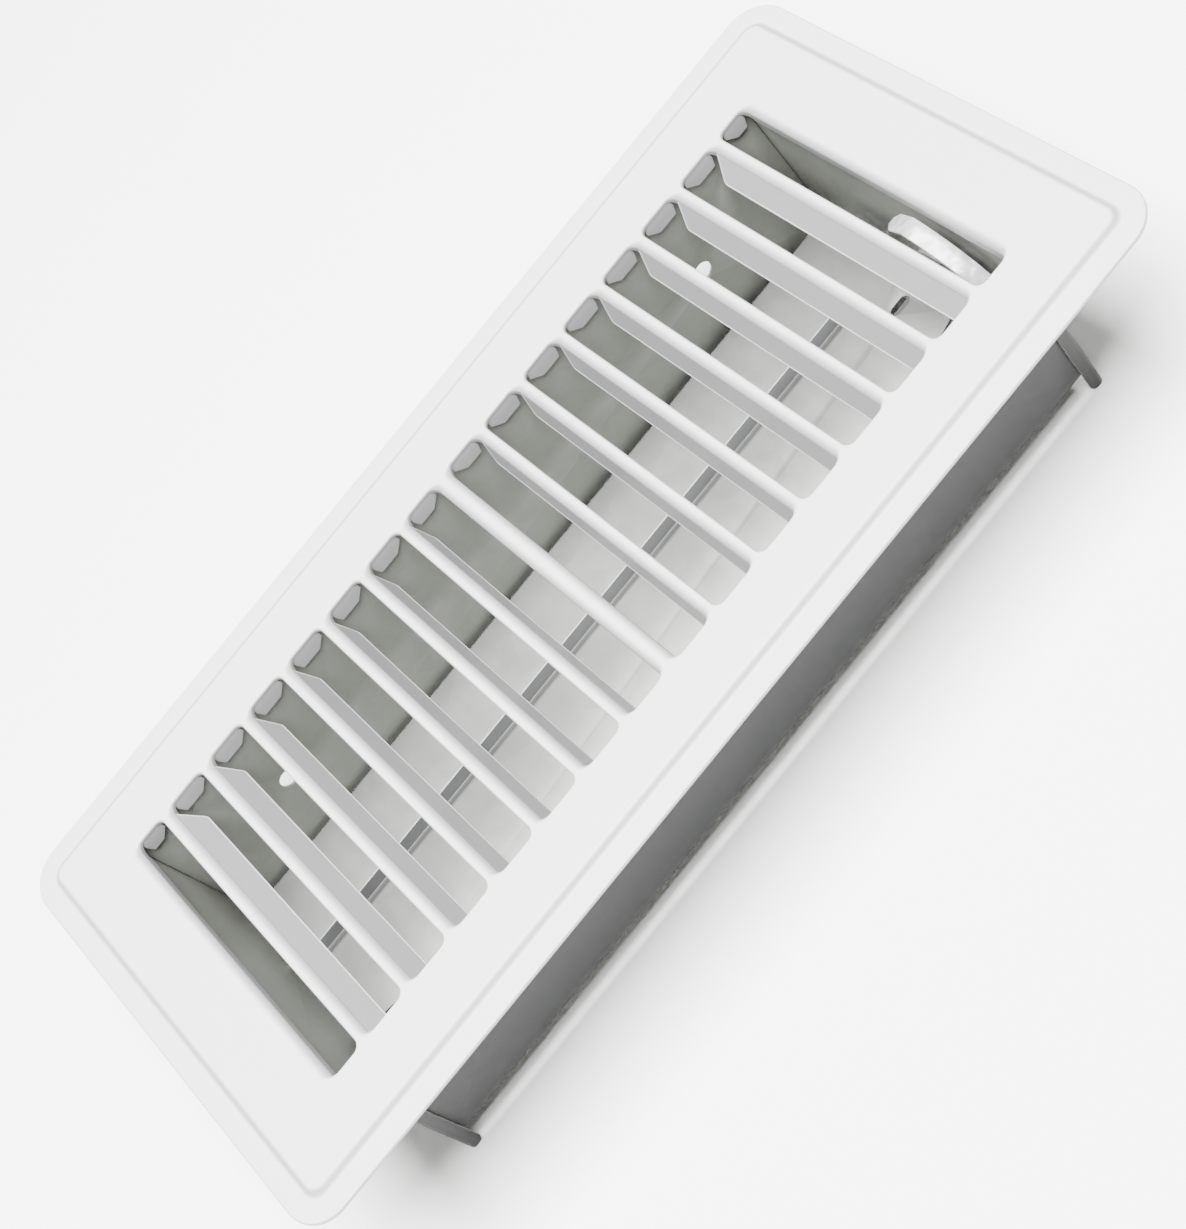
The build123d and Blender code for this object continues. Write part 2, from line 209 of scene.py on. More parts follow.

# %% [markdown]
# ## Galvanised sheet
#
# The duct box and the damper are plain galvanised steel, left as it came from the mill. Zinc freezes on the
# hot steel in flat crystals, the spangle, and each crystal mirrors the room a little differently. A Voronoi
# texture makes such cells, because each of its cells has one random value, and that value moves the tone
# and the roughness. The real cells are a few millimetres wide on this light coat, so the scale comes from
# that. Shade is painted into the zinc where the box and the damper lie in shade: outside the box and in the
# pressed grooves. An attribute of painted shade marks those faces, and where a piece has no such attribute
# it reads as 0, which leaves the zinc unshaded. A Map Range node has its value at input 0, and the range
# that it gives at inputs 3 and 4.

# %% Galvanised finish
spangles_per_drift = 4
spangle_share = 0.35
dark_end, light_end = 0.3, 0.7
roughness_change = 0.05
zinc_metallic = 0.4
# The colour that painted shade multiplies into the zinc.
shade_tint = "#4C4C50"


def galvanised_sheet(name, dark, light, roughness, spangle_width):
    """Hot-dip zinc on steel sheet, with flat crystals of the given width."""
    made, tree, place = start_material(name)
    drift = node(tree, "ShaderNodeTexNoise", {
        "Vector": place, "Scale": 1 / (spangles_per_drift * spangle_width), "Detail": 2.0})
    cells = node(tree, "ShaderNodeTexVoronoi", {"Vector": place, "Scale": 1 / spangle_width})
    blend = node(tree, "ShaderNodeMix", {
        0: spangle_share, 2: drift.outputs["Fac"], 3: cells.outputs["Color"]})
    tone = node(tree, "ShaderNodeValToRGB", {"Fac": blend})
    set_stops(tone, [(dark_end, dark), (light_end, light)])
    gloss = node(tree, "ShaderNodeMapRange", {
        0: blend, 3: roughness - roughness_change, 4: roughness + roughness_change})
    # Painted shade: where the attribute is 1, the zinc's tone is multiplied by the shade colour.
    painted_shade = node(tree, "ShaderNodeAttribute", attribute_name="painted_shade")
    shaded_tone = node(tree, "ShaderNodeMix", {
        0: painted_shade.outputs["Fac"], 6: tone.outputs["Color"], 7: colour(shade_tint)},
        data_type="RGBA", blend_type="MULTIPLY")
    end_material(tree, {"Base Color": shaded_tone.outputs[2], "Roughness": gloss, "Metallic": zinc_metallic})
    return made


box_zinc = galvanised_sheet(
    "galvanised_box_sheet", dark="#7A7C76", light="#82847E", roughness=0.5, spangle_width=5 * mm)
leaf_zinc = galvanised_sheet(
    "galvanised_damper_sheet", dark="#80827E", light="#888A86", roughness=0.45, spangle_width=5 * mm)
tie_zinc = galvanised_sheet(
    "zinc_plated_strip", dark="#B0B1AE", light="#BABBB8", roughness=0.4, spangle_width=2 * mm)
pin_zinc = galvanised_sheet(
    "zinc_plated_pins", dark="#B8B8B4", light="#C2C2BE", roughness=0.35, spangle_width=2 * mm)
print("zinc finishes:", box_zinc.name, leaf_zinc.name, tie_zinc.name, pin_zinc.name)

# %% [markdown]
# ## Starting and ending a Geometry Nodes piece
#
# The face, its fins and its lips each follow one rule that repeats along the register, so Geometry Nodes
# make them. Every tree gets named inputs for its sizes. A modifier stores those inputs under the socket's
# identifier, so a helper looks the identifier up by name. When the tree has done its work, the result is
# kept as a plain mesh and the modifier goes, because the model that leaves Blender holds plain meshes only.

# %% Geometry Nodes helpers
def start_tree(name, sizes):
    """A new tree with a Geometry input and one named input for each size, which may be an object."""
    tree = bpy.data.node_groups.new(name, "GeometryNodeTree")
    tree.interface.new_socket("Geometry", in_out="INPUT", socket_type="NodeSocketGeometry")
    for label, value in sizes.items():
        kind = "NodeSocketObject" if isinstance(value, bpy.types.Object) else "NodeSocketFloat"
        tree.interface.new_socket(label, in_out="INPUT", socket_type=kind)
    tree.interface.new_socket("Geometry", in_out="OUTPUT", socket_type="NodeSocketGeometry")
    return tree, node(tree, "NodeGroupInput").outputs


def end_tree(tree, geometry, material):
    """Close a tree with plain geometry that has its material."""
    real = node(tree, "GeometryNodeRealizeInstances", {"Geometry": geometry})
    coated = node(tree, "GeometryNodeSetMaterial", {"Geometry": real, "Material": material})
    node(tree, "NodeGroupOutput", {"Geometry": coated})


def grow(name, mesh, tree, sizes):
    """An object on which the tree works with the given sizes."""
    made = bpy.data.objects.new(name, mesh)
    bpy.context.scene.collection.objects.link(made)
    modifier = made.modifiers.new(tree.name, "NODES")
    modifier.node_group = tree
    for item in tree.interface.items_tree:
        if item.in_out == "INPUT" and item.name in sizes:
            modifier[item.identifier] = sizes[item.name]
    return made


def settle(made, sharp_angle):
    """Keep what the modifiers make as a plain mesh, smooth up to the given angle."""
    seen = made.evaluated_get(bpy.context.evaluated_depsgraph_get())
    plain = bpy.data.meshes.new_from_object(seen)
    made.modifiers.clear()
    made.data = plain
    plain.shade_smooth()
    plain.set_sharp_from_angle(angle=sharp_angle)
    print(made.name, "has", len(plain.vertices), "points and", len(plain.polygons), "faces")


print("Geometry Nodes helpers ready")

# %% [markdown]
# ## Where the slots lie
#
# Fifteen slats cross the field at one pitch, so sixteen slots lie between them and at the two ends. The
# middle slat is wider than the rest. The sizes below are those of the CAD model, and the slots are worked
# out from the slats in the same way as there.

# %% Slot and slat places
slat_half_count = 7
slat_pitch = 15.34 * mm
slat_width = 3.3 * mm
middle_slat_width = 5.2 * mm
slot_length = 92.8 * mm
end_slot_width = 9.37 * mm

slat_steps = range(-slat_half_count, slat_half_count + 1)
slat_edges = [(k * slat_pitch, (slat_width if k else middle_slat_width) / 2) for k in slat_steps]
field_half = slat_half_count * slat_pitch + slat_width / 2 + end_slot_width
slot_starts = [-field_half] + [y + half for y, half in slat_edges]
slot_ends = [y - half for y, half in slat_edges] + [field_half]
slot_middles = [(start + end) / 2 for start, end in zip(slot_starts, slot_ends)]
slot_widths = [end - start for start, end in zip(slot_starts, slot_ends)]
print("slots:", len(slot_middles), "widths in mm:", sorted({round(w / mm, 2) for w in slot_widths}))

# %% [markdown]
# ## The pressed face
#
# The press draws each slot down into a collar with a rolled upper edge, and raises the panel above a flat
# rim. Both are one section carried round an outline: the roll goes round every slot, and the step goes
# round the whole face. A box with a bevel could stand for it, but the rolled edge is what catches the light
# here, so the sheet is swept. The sections are drawn first, with sharp corners that each keep the radius of
# their bend.

# %% Sections of the pressed face
slot_roll = 1.45 * mm
collar_depth = 3.0 * mm
rim_width = 6.0 * mm
panel_rise = 1.4 * mm
rim_edge = 0.45 * mm
step_bend = 1.8 * mm
flat_run = 0.15 * mm
panel_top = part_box("faceplate")[1].z


def section(name, corners):
    """A curve object for a sheet's section, each corner given as out, down and the radius of its bend."""
    curve = bpy.data.curves.new(name, "CURVE")
    line = curve.splines.new("POLY")
    line.points.add(len(corners) - 1)
    for point, (out, down, bend) in zip(line.points, corners):
        point.co = (out, down, 0, 1)
        point.radius = bend
    made = bpy.data.objects.new(name, curve)
    bpy.context.scene.collection.objects.link(made)
    return made


roll_section = section("roll_section", [
    (slot_roll + flat_run, 0, 0),
    (0, 0, slot_roll),
    (0, collar_depth, 0),
])
step_section = section("step_section", [
    (0, panel_top, 0),
    (0, panel_rise, rim_edge),
    (-rim_width, panel_rise, step_bend),
    (-rim_width - panel_rise, 0, step_bend),
    (-rim_width - panel_rise - step_bend, 0, 0),
])
print("sections:", roll_section.name, step_section.name)

# %% [markdown]
# Fillet Curve rounds corners, and Curve to Mesh carries a section along a curve. The three helpers below
# put them together, for the outlines and the sections of all the pressed pieces.

# %% Rounded outlines and sections
bend_points = 7
face_corner_points = 15


def rounded_outline(tree, width, height, corner, count):
    """Nodes for a rectangle with rounded corners."""
    square = node(tree, "GeometryNodeCurvePrimitiveQuadrilateral", {"Width": width, "Height": height})
    return node(tree, "GeometryNodeFilletCurve", {
        "Curve": square, "Count": count, "Radius": corner}, mode="POLY")


def rounded_section(tree, section_object):
    """Nodes that round the corners of a drawn section by the radius kept on each point."""
    drawn = node(tree, "GeometryNodeObjectInfo", {"Object": section_object})
    bend = node(tree, "GeometryNodeInputRadius")
    rounded = node(tree, "GeometryNodeFilletCurve", {
        "Curve": drawn.outputs["Geometry"], "Count": bend_points, "Radius": bend}, mode="POLY")
    return node(tree, "GeometryNodeSetCurveRadius", {"Curve": rounded, "Radius": 1.0})


def swept(tree, outline, section_object, scale=1.0):
    """Nodes that carry a section along an outline, scaled as it goes."""
    return node(tree, "GeometryNodeCurveToMesh", {
        "Curve": outline, "Profile Curve": rounded_section(tree, section_object), "Scale": scale})


print("points in a bend:", bend_points, "and in a corner of the face:", face_corner_points)

# %% [markdown]
# The tree puts one rounded rectangle on each slot point, then moves its two long sides out to that slot's
# own width, so one outline serves slots of three widths. Every point of the outline keeps the side that it
# is on, as 1 or -1, and that number gives the move its direction.

# %% Slot outlines at their own widths
wide_roll, tight_roll = 1.6, 0.4  # as shares of slot_roll
face_width, face_length = (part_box("faceplate")[1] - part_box("faceplate")[0]).xy
slot_corner = 2.2 * mm
face_sizes = {
    "Slot Length": slot_length,
    "Slot Corner": slot_corner,
    "Tight Roll": tight_roll,
    "Base Width": 12 * mm,
    "Face Width": face_width,
    "Face Length": face_length,
    "Face Corner": 10.5 * mm,
    "Panel Top": panel_top,
    "Roll Section": roll_section,
    "Step Section": step_section,
}
face_tree, size = start_tree("pressed face", face_sizes)

base = rounded_outline(face_tree, size["Slot Length"], size["Base Width"], size["Slot Corner"], bend_points)
spot = node(face_tree, "GeometryNodeInputPosition")
spot_axes = node(face_tree, "ShaderNodeSeparateXYZ", {0: spot})
side = node(face_tree, "ShaderNodeMath", {0: spot_axes.outputs["Y"]}, operation="SIGN")
sided = node(face_tree, "GeometryNodeStoreNamedAttribute", {
    "Geometry": base, "Name": "side", "Value": side})
spread = node(face_tree, "GeometryNodeInstanceOnPoints", {"Points": size["Geometry"], "Instance": sided})
loose = node(face_tree, "GeometryNodeRealizeInstances", {"Geometry": spread})
own_width = node(face_tree, "GeometryNodeInputNamedAttribute", {"Name": "slot_width"})
own_side = node(face_tree, "GeometryNodeInputNamedAttribute", {"Name": "side"})
extra = node(face_tree, "ShaderNodeMath", {0: own_width, 1: size["Base Width"]}, operation="SUBTRACT")
half_extra = node(face_tree, "ShaderNodeMath", {0: extra, 1: 0.5}, operation="MULTIPLY")
move = node(face_tree, "ShaderNodeMath", {0: half_extra, 1: own_side}, operation="MULTIPLY")
move_y = node(face_tree, "ShaderNodeCombineXYZ", {"Y": move})
slot_lines = node(face_tree, "GeometryNodeSetPosition", {"Geometry": loose, "Offset": move_y})
print("nodes for the slot outlines:", len(face_tree.nodes))

# %% [markdown]
# The press rolls the side of a slot that a fin hangs from more widely than the rest of the slot, and both
# sides of the middle slat widely, so the section is scaled as it goes round. Two numbers that each slot has
# for itself give the scale of its two sides, and the rounded ends of all slots are tight.

# %% How wide the roll is
fin_side = node(face_tree, "GeometryNodeInputNamedAttribute", {"Name": "fin_side"})
near_fin = node(face_tree, "ShaderNodeMath", {0: own_side, 1: fin_side}, operation="MULTIPLY")
roll_mean = node(face_tree, "GeometryNodeInputNamedAttribute", {"Name": "roll_mean"})
roll_change = node(face_tree, "GeometryNodeInputNamedAttribute", {"Name": "roll_change"})
side_scale = node(face_tree, "ShaderNodeMath", {
    0: near_fin, 1: roll_change, 2: roll_mean}, operation="MULTIPLY_ADD")
half_length = node(face_tree, "ShaderNodeMath", {0: size["Slot Length"], 1: 0.5}, operation="MULTIPLY")
corner_start = node(face_tree, "ShaderNodeMath", {
    0: half_length, 1: size["Slot Corner"]}, operation="SUBTRACT")
along = node(face_tree, "ShaderNodeMath", {0: spot_axes.outputs["X"]}, operation="ABSOLUTE")
round_corner = node(face_tree, "ShaderNodeMapRange", {0: along, 1: corner_start, 2: half_length})
roll_scale = node(face_tree, "ShaderNodeMix", {0: round_corner, 2: side_scale, 3: size["Tight Roll"]})
print("nodes with the scale of the rolls:", len(face_tree.nodes))

# %% [markdown]
# The roll and the step are swept, and the loops that they leave open at the panel's level are filled with
# one flat sheet. Building it with the panel at height zero suits Fill Curve, which always fills at zero,
# and the whole face is lifted into place at the end.

# %% Rolls, step and flat panel
level_slack = 0.01 * mm
weld_distance = 0.005 * mm

rolls = swept(face_tree, slot_lines, size["Roll Section"], roll_scale)
edge_line = rounded_outline(
    face_tree, size["Face Width"], size["Face Length"], size["Face Corner"], face_corner_points)
step = swept(face_tree, edge_line, size["Step Section"])
formed = node(face_tree, "GeometryNodeJoinGeometry", {0: rolls})
face_tree.links.new(step.outputs[0], formed.inputs[0])

beside = node(face_tree, "GeometryNodeInputMeshEdgeNeighbors")
open_edge = node(face_tree, "FunctionNodeCompare", {
    "A": beside, "B": 1}, data_type="INT", operation="EQUAL")
level = node(face_tree, "FunctionNodeCompare", {
    "A": spot_axes.outputs["Z"], "B": -level_slack}, data_type="FLOAT", operation="GREATER_THAN")
panel_edge = node(face_tree, "FunctionNodeBooleanMath", {0: open_edge, 1: level}, operation="AND")
panel_line = node(face_tree, "GeometryNodeMeshToCurve", {"Mesh": formed, "Selection": panel_edge})
panel = node(face_tree, "GeometryNodeFillCurve", {"Curve": panel_line}, mode="TRIANGLES")
whole = node(face_tree, "GeometryNodeJoinGeometry", {0: formed})
face_tree.links.new(panel.outputs[0], whole.inputs[0])
welded = node(face_tree, "GeometryNodeMergeByDistance", {"Geometry": whole, "Distance": weld_distance})
rise = node(face_tree, "ShaderNodeCombineXYZ", {"Z": size["Panel Top"]})
lifted = node(face_tree, "GeometryNodeTransform", {"Geometry": welded, "Translation": rise})
print("nodes with the panel:", len(face_tree.nodes))

# %% [markdown]
# The tree ends by keeping the share of painted light that the enamel reads: the upright part of each normal
# says how level the metal lies, and the steeper it lies, the more shade is painted on it. The slot points
# then carry the numbers of their slots, and the tree works on them.

# %% Pressed face from its slot points
crease_angle = radians(40)


def keep_painted_light(tree, geometry, domain, least=0.0):
    """Nodes that keep how level the metal lies, as its share of painted light, but no less than given."""
    lie = node(tree, "GeometryNodeInputNormal")
    lie_axes = node(tree, "ShaderNodeSeparateXYZ", {0: lie})
    level = node(tree, "ShaderNodeMath", {0: lie_axes.outputs["Z"]}, operation="ABSOLUTE")
    # The share of painted light: full on level metal, and less on steep metal, where it paints shade.
    thickness = node(tree, "ShaderNodeMath", {0: level, 1: least}, operation="MAXIMUM")
    return node(tree, "GeometryNodeStoreNamedAttribute", {
        "Geometry": geometry, "Name": "coat", "Value": thickness}, domain=domain)


def marks(name, places, **values):
    """A mesh of loose points, each with the named numbers."""
    mesh = bpy.data.meshes.new(name)
    mesh.from_pydata(places, [], [])
    for label, numbers in values.items():
        mesh.attributes.new(label, "FLOAT", "POINT").data.foreach_set("value", numbers)
    return mesh


end_tree(face_tree, keep_painted_light(face_tree, lifted, "POINT"), face_enamel)
slot_places = [(0, y, 0) for y in slot_middles]
fin_sides = [1 if y > 0 else -1 for y in slot_middles]
plain_rolls = [wide_roll if abs(y) < slat_pitch else tight_roll for y in slot_middles]
roll_means = [(wide_roll + plain) / 2 for plain in plain_rolls]
roll_changes = [(wide_roll - plain) / 2 for plain in plain_rolls]
slot_marks = marks("slot_marks", slot_places, slot_width=slot_widths, fin_side=fin_sides,
                   roll_mean=roll_means, roll_change=roll_changes)
pressed_face = grow("pressed_face", slot_marks, face_tree, face_sizes)
settle(pressed_face, crease_angle)

# %% [markdown]
# The sweep has no thickness yet. Its faces are first turned to point up and out, because Solidify grows the
# sheet on their back, and then the sheet gets its real thickness.

# %% Sheet thickness of the face
sheet = 0.8 * mm


def face_up(mesh):
    """Make the faces of an open sheet agree, with the widest flat one looking up."""
    shape = bmesh.new()
    shape.from_mesh(mesh)
    bmesh.ops.recalc_face_normals(shape, faces=shape.faces)
    widest = max(shape.faces, key=lambda face: face.calc_area() * abs(face.normal.z))
    if widest.normal.z < 0:
        bmesh.ops.reverse_faces(shape, faces=shape.faces)
    shape.to_mesh(mesh)
    shape.free()


face_up(pressed_face.data)
thickness = pressed_face.modifiers.new("sheet", "SOLIDIFY")
thickness.thickness = sheet
thickness.offset = -1
thickness.use_even_offset = True
settle(pressed_face, crease_angle)
for drawing in (roll_section, step_section):
    bpy.data.objects.remove(drawing)

# %% [markdown]
# ## Fins
#
# The side of each slat that faces the middle is folded on down as a fin, to steer the air. The fins lean
# towards the middle, and they lean more the nearer they are to an end, so the picture shows more of them
# there. Each slat but the middle one has a point with its own slant. A fin starts where the roll has turned
# as far as the fin leans, so the two meet without a crease, and it is stretched from there to its full
# depth.

# %% Fin outline and places
fin_depth = 11.6 * mm
fin_end_gap = 1.8 * mm
fin_lean_middle = radians(9.4)
fin_lean_end = radians(19.8)
fin_corner = 0.8 * mm
hem_radius = 0.5 * mm
fin_half = slot_length / 2 - fin_end_gap
fin_roll = slot_roll * wide_roll
fin_drop = fin_depth - fin_roll - hem_radius


def fin_stand(k):
    """Where the fin of slat k starts below its roll, how it slants, and how far it is stretched."""
    outward = 1 if k > 0 else -1
    share = (abs(k) - 1) / (slat_half_count - 1)
    lean = fin_lean_middle + (fin_lean_end - fin_lean_middle) * share**2
    roll_y = k * slat_pitch - outward * (slat_width / 2 - fin_roll)
    start_y = roll_y - outward * (fin_roll * cos(lean) - sheet / 2 / cos(lean))
    start_z = panel_top - fin_roll + fin_roll * sin(lean)
    stretch = 1 + fin_roll * sin(lean) / fin_drop
    return (0, start_y, start_z), outward * tan(lean) * stretch, stretch


fin_places, fin_slants, fin_stretches = zip(*[fin_stand(k) for k in slat_steps if k])
fin_outline = section("fin_outline", [
    (-fin_half, 0, 0),
    (-fin_half, fin_drop, fin_corner),
    (fin_half, fin_drop, fin_corner),
    (fin_half, 0, 0),
])
print("fins:", len(fin_places), "drop in mm:", round(fin_drop / mm, 2))

# %% [markdown]
# The tree fills the fin's outline once, gives it the sheet's thickness, and runs a thin round hem along its
# free edges, as the enamel gathers there.

# %% One fin with its hem
hem_points = 10
fin_sizes = {"Fin Outline": fin_outline, "Sheet": sheet, "Hem Radius": hem_radius}
fin_tree, size = start_tree("louvre fins", fin_sizes)

edge_line = rounded_section(fin_tree, size["Fin Outline"])
flat_fin = node(fin_tree, "GeometryNodeFillCurve", {"Curve": edge_line}, mode="NGONS")
thick_up = node(fin_tree, "ShaderNodeCombineXYZ", {"Z": size["Sheet"]})
thick = node(fin_tree, "GeometryNodeExtrudeMesh", {
    "Mesh": flat_fin, "Offset": thick_up, "Individual": False})
flipped = node(fin_tree, "GeometryNodeFlipFaces", {"Mesh": flat_fin})
both_sides = node(fin_tree, "GeometryNodeJoinGeometry", {0: flipped})
fin_tree.links.new(thick.outputs["Mesh"], both_sides.inputs[0])
shut = node(fin_tree, "GeometryNodeMergeByDistance", {"Geometry": both_sides, "Distance": weld_distance})
half_down = node(fin_tree, "ShaderNodeMath", {0: size["Sheet"], 1: -0.5}, operation="MULTIPLY")
middle = node(fin_tree, "ShaderNodeCombineXYZ", {"Z": half_down})
centred = node(fin_tree, "GeometryNodeTransform", {"Geometry": shut, "Translation": middle})
hem_ring = node(fin_tree, "GeometryNodeCurvePrimitiveCircle", {
    "Resolution": hem_points, "Radius": size["Hem Radius"]})
hem = node(fin_tree, "GeometryNodeCurveToMesh", {
    "Curve": edge_line, "Profile Curve": hem_ring, "Fill Caps": True})
# The hem's faces are marked for full painted light, a painted highlight along the fin's free edges.
hem_with_highlight = node(fin_tree, "GeometryNodeStoreNamedAttribute", {
    "Geometry": hem, "Name": "hem", "Value": 1.0}, domain="FACE")
hemmed = node(fin_tree, "GeometryNodeJoinGeometry", {0: centred})
fin_tree.links.new(hem_with_highlight.outputs[0], hemmed.inputs[0])
stood = node(fin_tree, "GeometryNodeTransform", {"Geometry": hemmed, "Rotation": (radians(-90), 0, 0)})
print("nodes for one fin:", len(fin_tree.nodes))

# %% [markdown]
# The fin is then put on every point. Each point of a fin keeps its drop below the roll, so shearing a fin
# by its own slant is one product of the two numbers. The hems get full painted light, a painted highlight
# along the fins' free edges.

# %% Fins on their slats
spot = node(fin_tree, "GeometryNodeInputPosition")
spot_axes = node(fin_tree, "ShaderNodeSeparateXYZ", {0: spot})
kept = node(fin_tree, "GeometryNodeStoreNamedAttribute", {
    "Geometry": stood, "Name": "drop", "Value": spot_axes.outputs["Z"]})
stretch_up = node(fin_tree, "GeometryNodeInputNamedAttribute", {"Name": "stretch"})
stretch_z = node(fin_tree, "ShaderNodeCombineXYZ", {"X": 1.0, "Y": 1.0, "Z": stretch_up})
spread = node(fin_tree, "GeometryNodeInstanceOnPoints", {
    "Points": size["Geometry"], "Instance": kept, "Scale": stretch_z})
loose = node(fin_tree, "GeometryNodeRealizeInstances", {"Geometry": spread})
slant = node(fin_tree, "GeometryNodeInputNamedAttribute", {"Name": "slant"})
drop = node(fin_tree, "GeometryNodeInputNamedAttribute", {"Name": "drop"})
shear = node(fin_tree, "ShaderNodeMath", {0: slant, 1: drop}, operation="MULTIPLY")
shear_y = node(fin_tree, "ShaderNodeCombineXYZ", {"Y": shear})
leaning = node(fin_tree, "GeometryNodeSetPosition", {"Geometry": loose, "Offset": shear_y})
# Fin faces get painted shade by their slope, and the hems a painted highlight.
hem_highlight = node(fin_tree, "GeometryNodeInputNamedAttribute", {"Name": "hem"})
end_tree(fin_tree, keep_painted_light(fin_tree, leaning, "FACE", hem_highlight), face_enamel)

fin_marks = marks("fin_marks", fin_places, slant=fin_slants, stretch=fin_stretches)
louvre_fins = grow("louvre_fins", fin_marks, fin_tree, fin_sizes)
settle(louvre_fins, crease_angle)
bpy.data.objects.remove(fin_outline)

# %% [markdown]
# ## Lips
#
# The two ends of each slot are folded on down too, as short lips. The lower corner beside the fin is cut
# off a little and the other one a lot. Every lip is the same plate with its own width, so the tree starts
# from a plate that reaches one unit to either side, with a row of points halfway down. Each point keeps the
# side it is on and whether it is low. Shade is painted on each lip, darker from its upper edge to its lower
# edge.

# %% One lip
near = 0.1 * mm  # points closer than this count as one level
lip_depth = 6.0 * mm
lip_fin_corner = 0.8 * mm
lip_open_corner = 3.0 * mm
lip_setback = 0.05 * mm
lip_drop = lip_depth - slot_roll * tight_roll - 2 * lip_setback
lip_sizes = {
    "Sheet": sheet,
    "Lip Drop": lip_drop,
    "Mean Cut": (lip_open_corner + lip_fin_corner) / 2,
    "Cut Change": (lip_fin_corner - lip_open_corner) / 2,
    "Upper Painted Light": 0.34,
}
lip_tree, size = start_tree("slot lips", lip_sizes)

plate_size = node(lip_tree, "ShaderNodeCombineXYZ", {"X": size["Sheet"], "Y": 2.0, "Z": size["Lip Drop"]})
plate = node(lip_tree, "GeometryNodeMeshCube", {"Size": plate_size, "Vertices Z": 3})
spot = node(lip_tree, "GeometryNodeInputPosition")
spot_axes = node(lip_tree, "ShaderNodeSeparateXYZ", {0: spot})
sided = node(lip_tree, "GeometryNodeStoreNamedAttribute", {
    "Geometry": plate.outputs["Mesh"], "Name": "side", "Value": spot_axes.outputs["Y"]})
is_low = node(lip_tree, "ShaderNodeMath", {0: spot_axes.outputs["Z"], 1: -near}, operation="LESS_THAN")
marked = node(lip_tree, "GeometryNodeStoreNamedAttribute", {
    "Geometry": sided, "Name": "low", "Value": is_low})
# Painted shade on each lip: its share of painted light falls from the upper edge to none at the lower edge.
height = node(lip_tree, "ShaderNodeMath", {
    0: spot_axes.outputs["Z"], 1: size["Lip Drop"]}, operation="DIVIDE")
lip_painted_light = node(lip_tree, "ShaderNodeMapRange", {0: height, 1: -0.5, 2: 0.5, 4: size["Upper Painted Light"]})
coated = node(lip_tree, "GeometryNodeStoreNamedAttribute", {
    "Geometry": marked, "Name": "coat", "Value": lip_painted_light})
print("nodes for one lip:", len(lip_tree.nodes))

# %% [markdown]
# A point at each slot end carries the width of its lip and the side that the fin is on. The tree moves the
# sides of the plate from one unit to that width, and its low points further in by the cut of their corner,
# so that only the lower half is cut.

# %% Lips at the slot ends
spread = node(lip_tree, "GeometryNodeInstanceOnPoints", {"Points": size["Geometry"], "Instance": coated})
loose = node(lip_tree, "GeometryNodeRealizeInstances", {"Geometry": spread})
half_width = node(lip_tree, "GeometryNodeInputNamedAttribute", {"Name": "half_width"})
fin_side = node(lip_tree, "GeometryNodeInputNamedAttribute", {"Name": "fin_side"})
side = node(lip_tree, "GeometryNodeInputNamedAttribute", {"Name": "side"})
low = node(lip_tree, "GeometryNodeInputNamedAttribute", {"Name": "low"})
near_fin = node(lip_tree, "ShaderNodeMath", {0: side, 1: fin_side}, operation="MULTIPLY")
cut = node(lip_tree, "ShaderNodeMath", {
    0: near_fin, 1: size["Cut Change"], 2: size["Mean Cut"]}, operation="MULTIPLY_ADD")
low_cut = node(lip_tree, "ShaderNodeMath", {0: cut, 1: low}, operation="MULTIPLY")
reach = node(lip_tree, "ShaderNodeMath", {0: half_width, 1: low_cut}, operation="SUBTRACT")
less = node(lip_tree, "ShaderNodeMath", {0: reach, 1: 1.0}, operation="SUBTRACT")
move = node(lip_tree, "ShaderNodeMath", {0: less, 1: side}, operation="MULTIPLY")
move_y = node(lip_tree, "ShaderNodeCombineXYZ", {"Y": move})
fitted = node(lip_tree, "GeometryNodeSetPosition", {"Geometry": loose, "Offset": move_y})
end_tree(lip_tree, fitted, face_enamel)

lip_x = (slot_length + sheet) / 2 + lip_setback
lip_z = panel_top - lip_depth + lip_drop / 2
lip_places = [(x, y, lip_z) for x in (-lip_x, lip_x) for y in slot_middles]
lip_halves = [width / 2 - slot_corner / 2 for width in slot_widths] * 2
lip_marks = marks("lip_marks", lip_places, half_width=lip_halves, fin_side=fin_sides * 2)
slot_lips = grow("slot_lips", lip_marks, lip_tree, lip_sizes)
settle(slot_lips, crease_angle)

# %% [markdown]
# The sheet, the fins and the lips are one stamping in the CAD model. They ride on the body that stays
# still, and together they stand for that one node.

# %% The face's three pieces
for piece in (pressed_face, louvre_fins, slot_lips):
    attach(piece, "frame")
    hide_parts("faceplate")
print("pieces that stand for the face:", pressed_face.name, louvre_fins.name, slot_lips.name)

# %% [markdown]
# ## Bent sheet and the lever
#
# The box, the damper and the lever have the right shape in CAD already, but a CAD mesh is loose triangles
# with a knife edge at every corner. Real sheet edges are a little dull and show as a thin bright line. So
# each of these pieces is a copy with its points merged and its flat triangles joined, and a small bevel
# dulls the edges. The bevel's overlap clamp is off, because on thin sheet it draws points together. Where a
# piece needs another change, it comes before the bevel, as a function that works on the copy. The lever
# comes first, with the widest edges, because the enamel rounds them.

# %% Copies with dull edges
merge_distance = 0.001 * mm
flat_angle = radians(1)
fold_angle = radians(35)
lever_edge = 0.3 * mm


def soften(made, width, segments):
    """Round every sharp edge of a piece by the given width."""
    rounding = made.modifiers.new("edge", "BEVEL")
    rounding.width = width
    rounding.segments = segments
    rounding.use_clamp_overlap = False
    rounding.limit_method = "ANGLE"
    rounding.angle_limit = fold_angle


